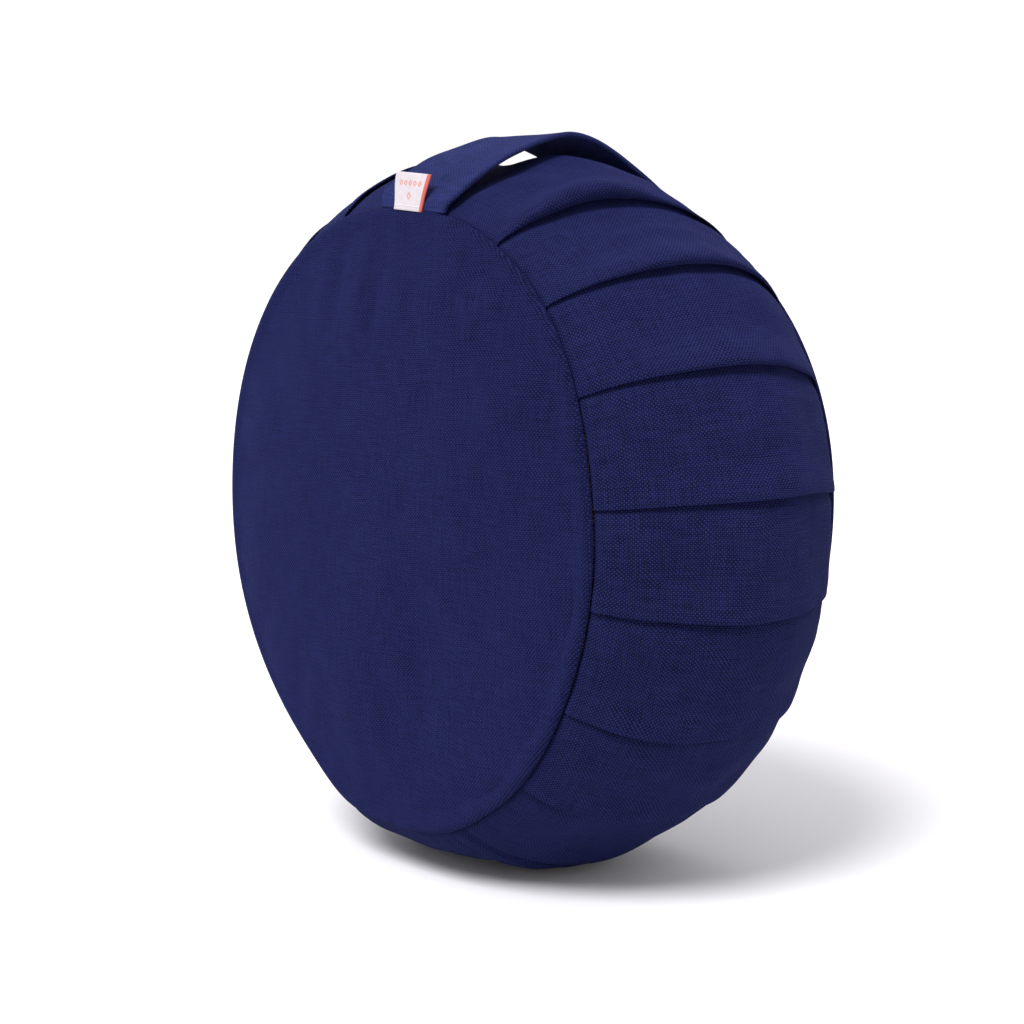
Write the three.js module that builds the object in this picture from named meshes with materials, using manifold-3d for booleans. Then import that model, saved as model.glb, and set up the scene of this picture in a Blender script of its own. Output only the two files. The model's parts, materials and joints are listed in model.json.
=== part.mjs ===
// Round pleated floor cushion with a carry strap, standing on its rim.
// Millimetres, +Z up. The cushion's own axis runs along Y and its front panel faces -Y.
// The origin is the middle of the flat patch that the side band stands on.
// Angles round the cushion's axis start at +X and grow towards +Z.

import * as THREE from 'three';
import { mergeVertices } from 'three/addons/utils/BufferGeometryUtils.js';
import Module from 'manifold-3d';

const wasm = await Module();
wasm.setup();

// ---- the cushion's form ----
const SEAM_RADIUS = 138; // the round panels, at their sewn edge
const BAND_BULGE = 27; // how far the side band swells past the seams
const SEAM_HALF_SPACING = 66.5; // from the middle plane to each panel's seam
const PANEL_CROWN = 10; // how far a panel swells past its seam
const PANEL_FLAT_RADIUS = 50; // the middle of a panel, flat where a person sits
const REST_FLAT = 3; // how far the belly is pressed in where it stands
const COVER_WALL = 2; // cloth of the cover with its seam allowances and pleat layers
const SEWN_GAP = 0.3; // between pieces that are sewn or laid against each other

// ---- pleats in the side band ----
const PLEAT_ANGLES = [
  -159, -141, -123, -105, -74, -69, -50, -31, -11.5, 5.5, 24.5, 41.5, 58.5, 107, 124, 142, 160,
];
const PLEAT_RAISE = 2.5; // height of a fold's edge at the belly
const PLEAT_TAPER = 12; // degrees over which the fold sinks back into the band
const PLEAT_STEP = 0.2; // degrees taken up by the fold's edge
const COLUMN_STEP = 6; // most degrees between two columns of the band
const BAND_ROWS = 10;

// ---- carry strap over the top ----
const STRAP_ANGLE = 84.5;
const STRAP_WIDTH = 48;
const STRAP_THICKNESS = 2;
const STRAP_RISE = 28; // from its sewn ends to its crown
const STRAP_POWER = 1.7; // below 2 gives the arch a slight peak
const STRAP_END_INSET = 1.6; // from the seam to the strap's free length
const STRAP_CLEARANCE = 0.7; // between the strap's ends and the band under them
const STRAP_DENT = 8; // the band lies flatter under the strap
const STRAP_DENT_SPREAD = 28; // degrees
const STRAP_STEPS = 22;

// ---- label sewn into the front seam ----
const LABEL_WIDTH = 24;
const LABEL_HEIGHT = 16;
const LABEL_THICKNESS = 1;
const LABEL_LEAN = 12; // degrees back from upright
const LABEL_SEAM_OFFSET = 0.6; // from the seam to the label's middle layer
const LABEL_CLEARANCE = 0.9; // from the seam radius to the label's lower edge
const LABEL_STITCH_HEIGHT = 2.5; // from the label's lower edge
const LABEL_STITCH_MARGIN = 1; // from the label's side edges

// ---- zip across the band, a quarter turn from the strap ----
const ZIP_ANGLE = 180;
const ZIP_SLOT_WIDTH = 14; // between the band's folded ends
const ZIP_TAPE_UNDERLAP = 5; // tape under the band
const ZIP_TAPE_THICKNESS = 0.8;
const ZIP_TAPE_GAP = 0.6; // below the band's inner face
const ZIP_TAPE_END_INSET = 5; // from the seam, along the band
const ZIP_COIL_WIDTH = 2.2;
const ZIP_COIL_HEIGHT = 2.2;
const ZIP_COIL_END_INSET = 10;
const ZIP_COIL_SPLIT = 0.3; // between the two coils
const ZIP_STOP_LENGTH = 2.5;
const SLIDER_LENGTH = 9;
const SLIDER_WIDTH = 8;
const SLIDER_WALL = 1.2;
const SLIDER_CLEARANCE = 0.3; // over the coils and the tapes
const LUG_THICKNESS = 1;
const LUG_LENGTH = 2.4;
const LUG_SPACING = 3.2; // between the lugs' inner faces
const BAR_RADIUS = 0.6;
const BAR_CLEARANCE = 0.3; // between the bar and the pull's eye
const EYE_WALL = 0.8;
const EYE_SIDE_CLEARANCE = 0.4; // between the pull's eye and each lug
const PULL_LENGTH = 20;
const PULL_WIDTH = 7;
const PULL_THICKNESS = 1.2;

// ---- inner case and filling ----
const LINER_GAP = 3.5; // room between cover and inner case, which the zip's back takes up
const LINER_PANEL_GAP = 1;
const LINER_WALL = 1.2;
const FILLING_GAP = 1;
const LINER_SLIT = 1; // closed by hand stitches, behind the zip

// ---- threads ----
const SEAM_THREAD_RADIUS = 0.4;
const SEAM_THREAD_CLEARANCE = 0.27; // inward from the band's inner edge at the seam
const SEAM_THREAD_DEPTH = 0.6; // from the seam's plane towards the middle
const TOPSTITCH_WIDTH = 0.8;
const TOPSTITCH_HEIGHT = 0.5;
const TOPSTITCH_MARGIN = 1.5; // from the band's folded end

const COVER_SEGMENTS = 40;
const CROWN_STEPS = 5;
const INNER_SEGMENTS = 28;
const INNER_CROWN_STEPS = 3;
const INNER_ROWS = 6;
const STRIP_STEPS = 12;

const BELLY_RADIUS = SEAM_RADIUS + BAND_BULGE;
const AXIS_HEIGHT = BELLY_RADIUS - REST_FLAT;
const RAD = Math.PI / 180;

const MATERIALS = {
  cover: [0x272b59, 0.9, 0],
  strap: [0x2b3060, 0.9, 0],
  label: [0xe6dce2, 0.7, 0],
  thread: [0x1b1e42, 0.8, 0],
  labelThread: [0xd9d2d6, 0.8, 0],
  tape: [0x20244c, 0.9, 0],
  coil: [0x1b1e40, 0.45, 0],
  metal: [0xa8a9ad, 0.35, 1],
  liner: [0xe9e2d2, 0.95, 0],
  hulls: [0x8a6b47, 1, 0],
};

const cushion = new THREE.Group();

function addPiece(name, geometry, finish, parent = cushion) {
  const [color, roughness, metalness] = MATERIALS[finish];
  const mesh = new THREE.Mesh(geometry, new THREE.MeshStandardMaterial({ color, roughness, metalness }));
  mesh.name = name;
  parent.add(mesh);
  return mesh;
}

// ---- mesh helpers ----

// Builds a mesh from points and triangles, with its faces turned outward.
function closedMesh(points, triangles) {
  let volume = 0;
  for (const [a, b, c] of triangles) {
    volume += points[a].dot(points[b].clone().cross(points[c]));
  }
  const turned = volume < 0 ? triangles.map(([a, b, c]) => [a, c, b]) : triangles;
  const geometry = new THREE.BufferGeometry();
  const numbers = points.flatMap((point) => point.toArray());
  geometry.setAttribute('position', new THREE.Float32BufferAttribute(numbers, 3));
  geometry.setIndex(turned.flat());
  geometry.computeVertexNormals();
  return geometry;
}

// A sheet with thickness: two grids of points, outer[i][j] and inner[i][j], joined along all four edges.
function slab(outer, inner) {
  const rows = outer.length;
  const columns = outer[0].length;
  const points = [...outer.flat(), ...inner.flat()];
  const top = (i, j) => i * columns + j;
  const under = (i, j) => rows * columns + i * columns + j;
  const triangles = [];
  const quad = (a, b, c, d) => triangles.push([a, b, c], [a, c, d]);
  for (let i = 0; i < rows - 1; i++) {
    for (let j = 0; j < columns - 1; j++) {
      quad(top(i, j), top(i, j + 1), top(i + 1, j + 1), top(i + 1, j));
      quad(under(i, j), under(i + 1, j), under(i + 1, j + 1), under(i, j + 1));
    }
    const last = columns - 1;
    quad(top(i, 0), top(i + 1, 0), under(i + 1, 0), under(i, 0));
    quad(top(i + 1, last), top(i, last), under(i, last), under(i + 1, last));
  }
  const end = rows - 1;
  for (let j = 0; j < columns - 1; j++) {
    quad(top(0, j + 1), top(0, j), under(0, j), under(0, j + 1));
    quad(top(end, j), top(end, j + 1), under(end, j + 1), under(end, j));
  }
  return closedMesh(points, triangles);
}

// A closed skin over a stack of rings, with a single point at each end.
function ringStack(rings, firstPole, lastPole) {
  const count = rings[0].length;
  const points = [...rings.flat(), firstPole, lastPole];
  const first = points.length - 2;
  const last = points.length - 1;
  const triangles = [];
  for (let j = 0; j < count; j++) {
    const k = (j + 1) % count;
    triangles.push([first, k, j]);
    for (let i = 0; i < rings.length - 1; i++) {
      const a = i * count;
      const b = a + count;
      triangles.push([a + j, a + k, b + k], [a + j, b + k, b + j]);
    }
    const top = (rings.length - 1) * count;
    triangles.push([top + j, top + k, last]);
  }
  return closedMesh(points, triangles);
}

function toSolid(geometry) {
  const bare = geometry.clone();
  bare.deleteAttribute('normal');
  bare.deleteAttribute('uv');
  const welded = mergeVertices(bare);
  const vertProperties = new Float32Array(welded.attributes.position.array);
  const triVerts = new Uint32Array(welded.index.array);
  return new wasm.Manifold(new wasm.Mesh({ numProp: 3, vertProperties, triVerts }));
}

function fromSolid(solid) {
  const mesh = solid.getMesh();
  const geometry = new THREE.BufferGeometry();
  geometry.setAttribute('position', new THREE.Float32BufferAttribute(mesh.vertProperties, 3));
  geometry.setIndex(Array.from(mesh.triVerts));
  geometry.computeVertexNormals();
  return geometry;
}

function joined(geometries) {
  return fromSolid(geometries.map(toSolid).reduce((whole, next) => whole.add(next)));
}

function block(xRange, yRange, zRange) {
  const [x, y, z] = [xRange, yRange, zRange].map(([low, high]) => [high - low, (low + high) / 2]);
  return new THREE.BoxGeometry(x[0], y[0], z[0]).translate(x[1], y[1], z[1]);
}

function steps(from, to, count) {
  return Array.from({ length: count + 1 }, (_, i) => from + ((to - from) * i) / count);
}

// ---- the side band's surface ----

function strapDent(angle) {
  const away = (angle - STRAP_ANGLE) / STRAP_DENT_SPREAD;
  return STRAP_DENT * Math.exp(-away * away);
}

// The band's section is a circular arc from seam to seam: its radius, its centre's distance
// from the cushion's axis, and the angle from the middle plane to the sewn edge.
function bandArc(angle) {
  const bulge = BAND_BULGE - strapDent(angle);
  const half = SEAM_HALF_SPACING - SEWN_GAP / 2;
  const radius = (half * half + bulge * bulge) / (2 * bulge);
  return { radius, centre: SEAM_RADIUS + bulge - radius, reach: Math.asin(half / radius) };
}

// A point over the band: an angle round the axis, an angle along the arc, and a height over
// the cloth. What would go below the floor is pressed flat, each layer at its own depth.
function overBand(angle, along, height) {
  const arc = bandArc(angle);
  const out = arc.centre + (arc.radius + height) * Math.cos(along);
  const z = AXIS_HEIGHT + out * Math.sin(angle * RAD);
  const y = (arc.radius + height) * Math.sin(along);
  return new THREE.Vector3(out * Math.cos(angle * RAD), y, Math.max(z, -Math.min(height, 0)));
}

// Columns of the band between its folded ends at the zip: an angle and the fold's share of
// its full raise. A fold's free edge points towards the smaller angle.
function bandColumns(firstAngle, lastAngle) {
  const edges = [...PLEAT_ANGLES, lastAngle];
  const columns = [];
  let start = firstAngle;
  let folded = false;
  for (const edge of edges) {
    const end = edge === lastAngle ? lastAngle : edge - PLEAT_STEP / 2;
    const count = Math.max(1, Math.ceil((end - start) / COLUMN_STEP));
    for (const angle of steps(start, end, count)) {
      columns.push({ angle, raise: folded ? Math.max(0, 1 - (angle - start) / PLEAT_TAPER) : 0 });
    }
    start = edge + PLEAT_STEP / 2;
    folded = true;
  }
  return columns;
}

const zipArc = bandArc(ZIP_ANGLE);
const slotHalfAngle = ZIP_SLOT_WIDTH / 2 / BELLY_RADIUS / RAD;

function sideBand() {
  const columns = bandColumns(ZIP_ANGLE - 360 + slotHalfAngle, ZIP_ANGLE - slotHalfAngle);
  const layer = (height, raise) =>
    columns.map((column) => {
      const { reach } = bandArc(column.angle);
      return steps(-1, 1, BAND_ROWS).map((share) => {
        const lift = raise * column.raise * (1 - share * share);
        return overBand(column.angle, share * reach, height + lift);
      });
    });
  return slab(layer(0, PLEAT_RAISE), layer(-COVER_WALL, 0));
}

// ---- round panels ----

// A crowned disc about the Y axis, from its sewn edge at `rim` from the middle plane.
function crownedPanel(radius, rim, crown, wall, segments, crownSteps) {
  const curve = (edge, height) =>
    steps(0, 90, crownSteps).map((turn) => {
      const out = PANEL_FLAT_RADIUS + (edge - PANEL_FLAT_RADIUS) * Math.sin(turn * RAD);
      return new THREE.Vector2(out, rim + height * Math.cos(turn * RAD));
    });
  const outer = curve(radius, crown);
  const inner = curve(radius - wall, crown - wall);
  const profile = [
    new THREE.Vector2(0, rim + crown - wall),
    ...inner,
    ...outer.reverse(),
    new THREE.Vector2(0, rim + crown),
  ];
  return new THREE.LatheGeometry(profile, segments);
}

function addPanelPair(names, geometry, finish) {
  addPiece(names[0], geometry, finish).rotation.x = Math.PI;
  addPiece(names[1], geometry, finish);
  for (const name of names) {
    cushion.getObjectByName(name).position.z = AXIS_HEIGHT;
  }
}

const panelRim = SEAM_HALF_SPACING + SEWN_GAP / 2;
addPanelPair(
  ['front_panel', 'back_panel'],
  crownedPanel(SEAM_RADIUS, panelRim, PANEL_CROWN, COVER_WALL, COVER_SEGMENTS, CROWN_STEPS),
  'cover',
);
addPiece('pleated_side_band', sideBand(), 'cover');

// ---- seam threads ----

function addSeamThread(name, side) {
  const bandEdge = overBand(0, bandArc(0).reach, -COVER_WALL).x;
  const radius = bandEdge - SEAM_THREAD_CLEARANCE - SEAM_THREAD_RADIUS;
  const ring = new THREE.TorusGeometry(radius, SEAM_THREAD_RADIUS, 5, COVER_SEGMENTS);
  const thread = addPiece(name, ring, 'thread');
  thread.rotation.x = Math.PI / 2;
  thread.position.set(0, side * (SEAM_HALF_SPACING - SEAM_THREAD_DEPTH), AXIS_HEIGHT);
}

addSeamThread('front_seam_thread', -1);
addSeamThread('back_seam_thread', 1);

// ---- carry strap ----

// The strap and the label are built upright about the cushion's axis, then turned to their place.
const topSide = new THREE.Group();
topSide.position.z = AXIS_HEIGHT;
topSide.rotation.y = (90 - STRAP_ANGLE) * RAD;
cushion.add(topSide);

const strapHalfLength = SEAM_HALF_SPACING - STRAP_END_INSET;
const strapArc = bandArc(STRAP_ANGLE);
const bandUnderFoot = strapArc.centre + Math.sqrt(strapArc.radius ** 2 - strapHalfLength ** 2);
const strapFoot = bandUnderFoot + STRAP_CLEARANCE + STRAP_THICKNESS / 2;

function strapHeight(y) {
  return strapFoot + STRAP_RISE * (1 - Math.abs(y / strapHalfLength) ** STRAP_POWER);
}

function carryStrap() {
  const layer = (side) =>
    steps(-strapHalfLength, strapHalfLength, STRAP_STEPS).map((y) => {
      const share = Math.abs(y) / strapHalfLength;
      const slope = (STRAP_POWER * STRAP_RISE * share ** (STRAP_POWER - 1)) / strapHalfLength;
      const normal = new THREE.Vector2(Math.sign(y) * slope, 1).normalize();
      normal.multiplyScalar((side * STRAP_THICKNESS) / 2);
      return [-STRAP_WIDTH / 2, STRAP_WIDTH / 2].map(
        (x) => new THREE.Vector3(x, y + normal.x, strapHeight(y) + normal.y),
      );
    });
  return slab(layer(1), layer(-1));
}

addPiece('carry_strap', carryStrap(), 'strap', topSide);

// ---- label ----

const labelFlap = new THREE.Group();
labelFlap.position.set(0, -(SEAM_HALF_SPACING + LABEL_SEAM_OFFSET), SEAM_RADIUS + LABEL_CLEARANCE);
labelFlap.rotation.x = -LABEL_LEAN * RAD;
topSide.add(labelFlap);

const labelSpan = [-LABEL_WIDTH / 2, LABEL_WIDTH / 2];
const labelLayers = [-LABEL_THICKNESS / 2, LABEL_THICKNESS / 2];
addPiece('side_label', block(labelSpan, labelLayers, [0, LABEL_HEIGHT]), 'label', labelFlap);

const stitchFace = -LABEL_THICKNESS / 2 - SEWN_GAP;
addPiece(
  'label_stitching',
  block(
    labelSpan.map((x) => x - Math.sign(x) * LABEL_STITCH_MARGIN),
    [stitchFace - TOPSTITCH_HEIGHT, stitchFace],
    [LABEL_STITCH_HEIGHT, LABEL_STITCH_HEIGHT + TOPSTITCH_WIDTH],
  ),
  'labelThread',
  labelFlap,
);

// ---- zip ----

// A strip that follows the band beside the zip: distances across the zip's line (positive is
// up), angles along the arc, and heights over the cloth.
function zipStrip(across, along, heights, count) {
  const layer = (height) =>
    steps(along[0], along[1], count).map((turn) =>
      across.map((offset) => overBand(ZIP_ANGLE - offset / BELLY_RADIUS / RAD, turn, height)),
    );
  return slab(layer(heights[1]), layer(heights[0]));
}

const tapeTop = -COVER_WALL - ZIP_TAPE_GAP;
const tapeHeights = [tapeTop - ZIP_TAPE_THICKNESS, tapeTop];
const tapeReach = zipArc.reach - ZIP_TAPE_END_INSET / zipArc.radius;
const coilReach = zipArc.reach - ZIP_COIL_END_INSET / zipArc.radius;
const coilInner = ZIP_COIL_SPLIT / 2;
const coilOuter = coilInner + ZIP_COIL_WIDTH;
const coilMiddle = tapeTop - ZIP_TAPE_THICKNESS / 2;
const coilHeights = [coilMiddle - ZIP_COIL_HEIGHT / 2, coilMiddle + ZIP_COIL_HEIGHT / 2];
const stopReach = (ZIP_STOP_LENGTH + SEWN_GAP) / zipArc.radius;
const stitchInner = ZIP_SLOT_WIDTH / 2 + TOPSTITCH_MARGIN;

for (const [side, sign] of [['upper', 1], ['lower', -1]]) {
  const across = (from, to) => [sign * from, sign * to];
  const tapeSpan = across(coilOuter + SEWN_GAP, ZIP_SLOT_WIDTH / 2 + ZIP_TAPE_UNDERLAP);
  const tape = zipStrip(tapeSpan, [-tapeReach, tapeReach], tapeHeights, STRIP_STEPS);
  addPiece(`zip_tape_${side}`, tape, 'tape');
  const coilSpan = across(coilInner, coilOuter);
  const coil = zipStrip(coilSpan, [-coilReach, coilReach], coilHeights, STRIP_STEPS);
  addPiece(`zip_coil_${side}`, coil, 'coil');
  const topStop = [-coilReach - stopReach, -coilReach - SEWN_GAP / zipArc.radius];
  addPiece(`zip_top_stop_${side}`, zipStrip(coilSpan, topStop, coilHeights, 1), 'metal');
  const stitchSpan = across(stitchInner, stitchInner + TOPSTITCH_WIDTH);
  const stitchHeights = [SEWN_GAP, SEWN_GAP + TOPSTITCH_HEIGHT];
  const topstitch = zipStrip(stitchSpan, [-tapeReach, tapeReach], stitchHeights, STRIP_STEPS);
  addPiece(`zip_stitching_${side}`, topstitch, 'thread');
}
const bottomStop = [coilReach + SEWN_GAP / zipArc.radius, coilReach + stopReach];
addPiece('zip_bottom_stop', zipStrip([-coilOuter, coilOuter], bottomStop, coilHeights, 1), 'metal');

// The slider's own frame: X along the zip, Z out of the cushion, Y across, and its origin on
// the band's outer surface. At rest it stands at the front end of the coils, with the zip closed.
const sliderTurn = -coilReach + SLIDER_LENGTH / 2 / zipArc.radius;
const zipCentre = new THREE.Vector3(-zipArc.centre, 0, AXIS_HEIGHT);
const outward = new THREE.Vector3(-Math.cos(sliderTurn), Math.sin(sliderTurn), 0);
const travel = new THREE.Vector3(Math.sin(sliderTurn), Math.cos(sliderTurn), 0);
const sliderFrame = new THREE.Group();
sliderFrame.position.copy(zipCentre).addScaledVector(outward, zipArc.radius);
sliderFrame.quaternion.setFromRotationMatrix(
  new THREE.Matrix4().makeBasis(travel, new THREE.Vector3(0, 0, -1), outward),
);
cushion.add(sliderFrame);

const plateUnder = coilHeights[1] + SLIDER_CLEARANCE;
const plateTop = plateUnder + SLIDER_WALL;
const flangeInner = coilOuter + SLIDER_CLEARANCE;
const flangeUnder = tapeTop + SLIDER_CLEARANCE;
const eyeRadius = BAR_RADIUS + BAR_CLEARANCE + EYE_WALL;
const barHeight = plateTop + SLIDER_CLEARANCE + eyeRadius;

// A bar across the zip, at the pull's hinge.
function crossBar(radius, length) {
  return new THREE.CylinderGeometry(radius, radius, length, 16).translate(0, 0, barHeight);
}

function zipSlider() {
  const along = [-SLIDER_LENGTH / 2, SLIDER_LENGTH / 2];
  const plate = block(along, [-SLIDER_WIDTH / 2, SLIDER_WIDTH / 2], [plateUnder, plateTop]);
  const inner = LUG_SPACING / 2;
  const outer = inner + LUG_THICKNESS;
  const lugLength = [-LUG_LENGTH / 2, LUG_LENGTH / 2];
  const lugHeight = [plateUnder, barHeight + LUG_THICKNESS];
  return joined([
    plate,
    block(along, [-SLIDER_WIDTH / 2, -flangeInner], [flangeUnder, plateTop]),
    block(along, [flangeInner, SLIDER_WIDTH / 2], [flangeUnder, plateTop]),
    block(lugLength, [-outer, -inner], lugHeight),
    block(lugLength, [inner, outer], lugHeight),
    crossBar(BAR_RADIUS, LUG_SPACING + LUG_THICKNESS),
  ]);
}

function zipPull() {
  const eyeWidth = LUG_SPACING - 2 * EYE_SIDE_CLEARANCE;
  const lugSweep = Math.hypot(LUG_LENGTH / 2, barHeight - plateUnder);
  const shoulder = lugSweep + SLIDER_CLEARANCE;
  const leaf = [barHeight - PULL_THICKNESS / 2, barHeight + PULL_THICKNESS / 2];
  const eye = toSolid(crossBar(eyeRadius, eyeWidth));
  const neck = toSolid(block([0, shoulder + 1], [-eyeWidth / 2, eyeWidth / 2], leaf));
  const tab = toSolid(block([shoulder, PULL_LENGTH], [-PULL_WIDTH / 2, PULL_WIDTH / 2], leaf));
  const hole = toSolid(crossBar(BAR_RADIUS + BAR_CLEARANCE, LUG_SPACING));
  return fromSolid(eye.add(neck).add(tab).subtract(hole));
}

addPiece('zip_slider', zipSlider(), 'metal', sliderFrame);
addPiece('zip_pull_tab', zipPull(), 'metal', sliderFrame);

// ---- inner case ----

const linerHeight = -COVER_WALL - LINER_GAP;
const fillHeight = linerHeight - LINER_WALL - FILLING_GAP;

// A layer under the band ends on one plane all round, where the undented band's layer would.
function layerEdge(height) {
  return overBand(0, bandArc(0).reach, height);
}

function layerRow(angle, height, edge, count) {
  const reach = Math.asin(edge / (bandArc(angle).radius + height));
  return steps(-reach, reach, count).map((along) => overBand(angle, along, height));
}

function linerBand() {
  const slitHalf = LINER_SLIT / 2 / BELLY_RADIUS / RAD;
  const angles = steps(ZIP_ANGLE - 360 + slitHalf, ZIP_ANGLE - slitHalf, INNER_SEGMENTS);
  const layer = (height) => angles.map((angle) => layerRow(angle, height, layerEdge(height).y, INNER_ROWS));
  return slab(layer(linerHeight), layer(linerHeight - LINER_WALL));
}

// The inner case's round panels start a sewn gap outside its band.
const linerRim = layerEdge(linerHeight).y + SEWN_GAP;
const linerCrown = panelRim + PANEL_CROWN - COVER_WALL - LINER_PANEL_GAP - linerRim;
addPanelPair(
  ['liner_front_panel', 'liner_back_panel'],
  crownedPanel(
    layerEdge(linerHeight).x, linerRim, linerCrown, LINER_WALL, INNER_SEGMENTS, INNER_CROWN_STEPS,
  ),
  'liner',
);
addPiece('liner_side_band', linerBand(), 'liner');

const closingHeights = [linerHeight + SEWN_GAP, linerHeight + SEWN_GAP + TOPSTITCH_HEIGHT];
addPiece(
  'liner_closing_thread',
  zipStrip([-LINER_SLIT, LINER_SLIT], [-tapeReach, tapeReach], closingHeights, STRIP_STEPS),
  'thread',
);

// ---- filling ----

// The hulls fill the inner case as one mass: a crown, the band's form and another crown.
function hullFilling() {
  const angles = steps(0, 360, INNER_SEGMENTS).slice(0, -1);
  const edge = layerEdge(fillHeight);
  const crown = linerRim + linerCrown - LINER_WALL - FILLING_GAP - edge.y;
  const crownRings = (side) =>
    steps(0, 90, INNER_CROWN_STEPS).slice(0, -1).map((turn) => {
      const radius = PANEL_FLAT_RADIUS + (edge.x - PANEL_FLAT_RADIUS) * Math.sin(turn * RAD);
      const y = side * (edge.y + crown * Math.cos(turn * RAD));
      return angles.map((angle) => {
        const x = radius * Math.cos(angle * RAD);
        return new THREE.Vector3(x, y, AXIS_HEIGHT + radius * Math.sin(angle * RAD));
      });
    });
  const rows = angles.map((angle) => layerRow(angle, fillHeight, edge.y, INNER_ROWS));
  const bandRings = rows[0].map((_, i) => rows.map((row) => row[i]));
  const pole = (side) => new THREE.Vector3(0, side * (edge.y + crown), AXIS_HEIGHT);
  return ringStack([...crownRings(-1), ...bandRings, ...crownRings(1).reverse()], pole(-1), pole(1));
}

addPiece('hull_filling', hullFilling(), 'hulls');

export default cushion;
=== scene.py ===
"""Round pleated floor cushion: the looks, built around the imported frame.

Lengths are worked out in millimetres and turned into metres when a mesh is made. Angles round
the cushion's axis start at +X and grow towards +Z, and distances across the band run from the
front seam (-1) to the back seam (1).
"""

import json
import math

import bpy
import numpy as np
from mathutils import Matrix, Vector


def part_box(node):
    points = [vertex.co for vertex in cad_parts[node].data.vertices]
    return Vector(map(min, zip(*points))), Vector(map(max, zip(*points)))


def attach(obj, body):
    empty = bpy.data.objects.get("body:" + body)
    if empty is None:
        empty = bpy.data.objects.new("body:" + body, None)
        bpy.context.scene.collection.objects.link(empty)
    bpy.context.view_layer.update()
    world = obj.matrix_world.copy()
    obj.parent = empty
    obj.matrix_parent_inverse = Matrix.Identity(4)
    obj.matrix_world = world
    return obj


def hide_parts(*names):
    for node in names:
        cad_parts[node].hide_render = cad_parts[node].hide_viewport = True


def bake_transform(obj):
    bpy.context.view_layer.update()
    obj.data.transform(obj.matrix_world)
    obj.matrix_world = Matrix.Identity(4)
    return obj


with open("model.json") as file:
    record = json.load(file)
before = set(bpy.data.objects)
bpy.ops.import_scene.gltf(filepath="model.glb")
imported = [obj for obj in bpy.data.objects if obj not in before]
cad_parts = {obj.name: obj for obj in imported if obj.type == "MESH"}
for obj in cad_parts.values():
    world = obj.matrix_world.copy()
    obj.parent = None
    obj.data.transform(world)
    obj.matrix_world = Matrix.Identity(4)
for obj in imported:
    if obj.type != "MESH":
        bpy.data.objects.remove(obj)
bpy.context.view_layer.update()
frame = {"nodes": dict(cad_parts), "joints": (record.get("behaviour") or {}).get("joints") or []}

MM = 0.001
RAD = math.pi / 180
joints = {j["name"]: j for j in frame["joints"]}


def box_mm(node):
    """A CAD node's lowest and highest corner, in millimetres."""
    return [np.array(corner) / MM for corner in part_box(node)]


# ---- sizes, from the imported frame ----
panel_low, panel_high = box_mm("front_panel")
AXIS = (panel_low[2] + panel_high[2]) / 2
SEAM = (panel_high[2] - panel_low[2]) / 2
RIM = -panel_high[1]
CROWN = -panel_low[1] - RIM
ARC_CENTRE = -joints["zip_travel"]["pos_m"][0] / MM
BAND_HALF = box_mm("pleated_side_band")[1][1]
ARC_RADIUS = math.hypot(BAND_HALF, SEAM - ARC_CENTRE)
BELLY = ARC_CENTRE + ARC_RADIUS
REACH = math.asin(BAND_HALF / ARC_RADIUS)
strap_low, strap_high = box_mm("carry_strap")

STRAP_ANGLE = 84.5
ZIP_ANGLE = 180.0
SLOT = 14.0  # between the band's folded ends at the zip

# Each pleat: its angle, the roll of its free edge, where across the band that is fullest, and
# how far across the band the fullness spreads.
PLEATS = [
    (-159, 1.0, 0.1, 0.7), (-141, 1.1, -0.1, 0.7), (-123, 1.0, 0.2, 0.7), (-105, 1.0, 0.0, 0.7),
    (-74, 0.8, 0.0, 0.7), (-69, 0.9, 0.1, 0.7), (-50, 1.0, -0.1, 0.7), (-31, 1.1, 0.1, 0.7),
    (-11.5, 1.1, 0.0, 0.7), (5.5, 1.4, 0.35, 0.6), (24.5, 2.1, 0.1, 0.62), (41.5, 2.6, -0.1, 0.6),
    (58.5, 4.3, -0.4, 0.5), (107, 0.9, 0.1, 0.6), (124, 1.5, 0.0, 0.62), (142, 1.3, 0.2, 0.62),
    (160, 1.1, 0.0, 0.7),
]
PLEAT_DEPTH = 9.0  # cloth turned under each free edge
LAYER = 0.8  # between two layers of a pleat
PRESS = 1.3  # how far a pleat's free edge presses the cloth under it
PLEAT_FALL = 20.0  # length over which a pleat's upper layer comes back to the band
SEAM_ROLL = 3.0  # how far the band's cloth rolls into its seams
FOLD_ROUND = 1.6  # rounding of the band's folded ends at the zip
PANEL_FLAT = 50.0  # radius of a panel's flat middle
PANEL_WALL = 2.2
PANEL_EDGE = 1.5  # the panel's wall at its seam
EDGE_ROUND = 1.6
ZIP_CALM = 24.0  # degrees either side of the zip that stay truly round
FLOOR_EASE = 0.7  # how softly the floor's flat begins
HALF_GIRTH = 74.0  # along the band's arc, from its middle to a seam
PER_DEGREE = BELLY * RAD
SLOT_HALF = SLOT / 2 / BELLY / RAD
BAND_START, BAND_END = ZIP_ANGLE - 360 + SLOT_HALF, ZIP_ANGLE - SLOT_HALF


# ---- mesh helpers ----

def placed(name, data):
    """A new object in the scene."""
    thing = bpy.data.objects.new(name, data)
    bpy.context.scene.collection.objects.link(thing)
    return thing


def make_mesh(name, points, faces, uv=None):
    """A mesh object from points in millimetres."""
    mesh = bpy.data.meshes.new(name)
    mesh.from_pydata((np.asarray(points) * MM).tolist(), [], faces)
    if uv is not None:
        layer = mesh.uv_layers.new(name="UVMap")
        index = np.empty(len(mesh.loops), dtype=np.int32)
        mesh.loops.foreach_get("vertex_index", index)
        layer.data.foreach_set("uv", np.asarray(uv, dtype=np.float32)[index].ravel())
    mesh.polygons.foreach_set("use_smooth", [True] * len(mesh.polygons))
    mesh.update()
    return placed(name, mesh)


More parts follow.
